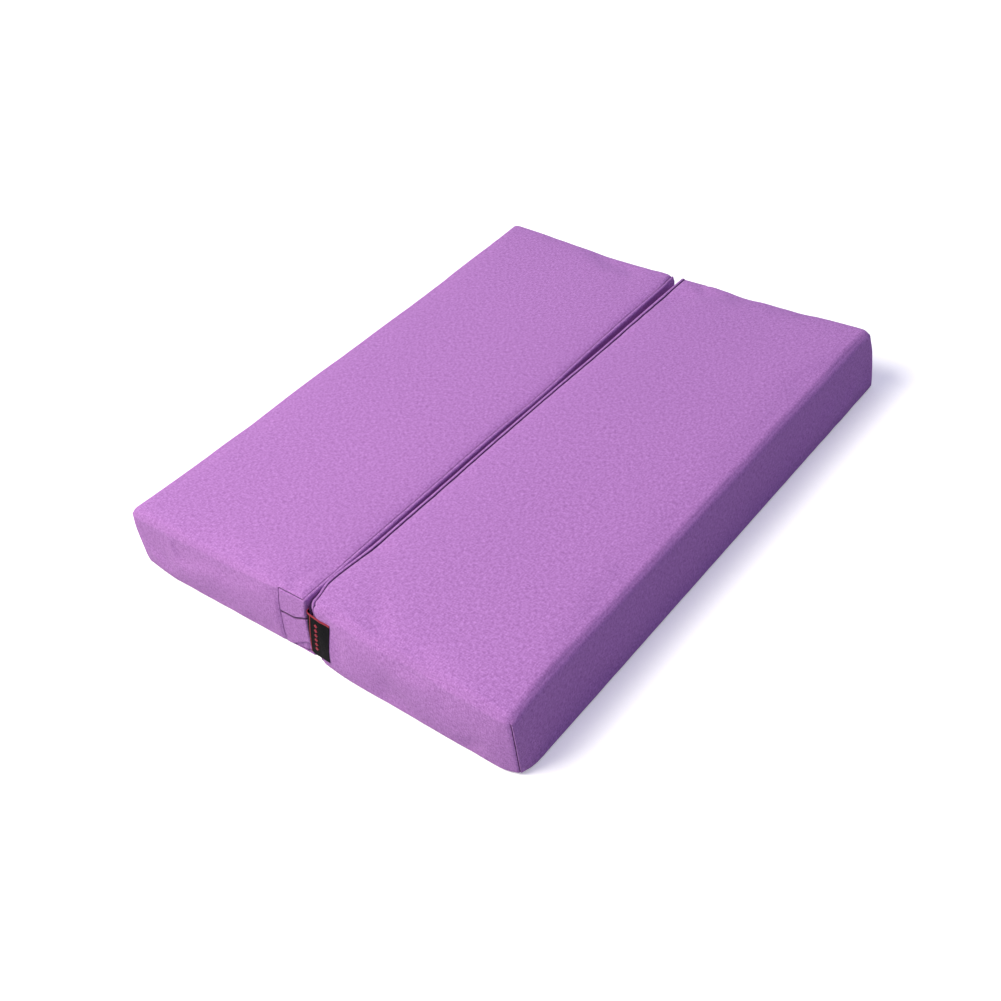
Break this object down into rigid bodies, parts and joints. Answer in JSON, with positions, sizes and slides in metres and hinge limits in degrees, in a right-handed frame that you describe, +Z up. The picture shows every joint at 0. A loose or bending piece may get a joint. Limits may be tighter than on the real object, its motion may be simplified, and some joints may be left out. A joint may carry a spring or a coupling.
{
  "type": "folding foam floor mat",
  "caption": "Flat folding floor mat: two canvas-covered foam halves joined by a fabric hinge along the floor, each cover closed by a concealed zip in its inner wall.",
  "frame": {"origin": "on the floor, under the middle of the fold line", "axes": "+Z up, +Y along the fold, away from the end with the side label, +X across the fold, towards the half that carries the label"},
  "size_m": [0.454, 0.6008, 0.07],
  "materials": {
    "canvas": "matte",
    "foam": "matte",
    "zip_tape": "matte",
    "zip_coil": "satin",
    "zip_metal": "satin",
    "label": "satin"
  },
  "bodies": {
    "left_half": {"left_foam_core": "foam", "left_top_cover": "canvas", "left_zip_flap": "canvas", "left_lower_gusset": "canvas", "left_base_panel": "canvas", "left_zip_tape_upper": "zip_tape", "left_zip_tape_lower": "zip_tape", "left_zip_coil_upper": "zip_coil", "left_zip_coil_lower": "zip_coil", "left_zip_stops": "zip_metal", "hinge_strip": "canvas"},
    "left_slider": {"left_zip_slider": "zip_metal"},
    "left_pull": {"left_zip_pull": "zip_metal"},
    "right_half": {"right_foam_core": "foam", "right_top_cover": "canvas", "right_zip_flap": "canvas", "right_lower_gusset": "canvas", "right_base_panel": "canvas", "right_zip_tape_upper": "zip_tape", "right_zip_tape_lower": "zip_tape", "right_zip_coil_upper": "zip_coil", "right_zip_coil_lower": "zip_coil", "right_zip_stops": "zip_metal", "side_label": "label"},
    "right_slider": {"right_zip_slider": "zip_metal"},
    "right_pull": {"right_zip_pull": "zip_metal"}
  },
  "joints": [
    {"name": "fold_hinge", "type": "hinge", "parent": "left_half", "child": "right_half", "pos_m": [0, 0, -0.0002], "axis": [0, 1, 0], "range_deg": [0, 180]},
    {"name": "left_zip", "type": "slide", "parent": "left_half", "child": "left_slider", "axis": [0, -1, 0], "range_m": [0, 0.51]},
    {"name": "left_pull_swing", "type": "hinge", "parent": "left_slider", "child": "left_pull", "pos_m": [-0.0025, 0.255, 0.045], "axis": [0, 0, 1], "range_deg": [0, 22]},
    {"name": "right_zip", "type": "slide", "parent": "right_half", "child": "right_slider", "axis": [0, 1, 0], "range_m": [0, 0.51]},
    {"name": "right_pull_swing", "type": "hinge", "parent": "right_slider", "child": "right_pull", "pos_m": [0.0025, -0.255, 0.045], "axis": [0, 0, 1], "range_deg": [0, 22]}
  ]
}
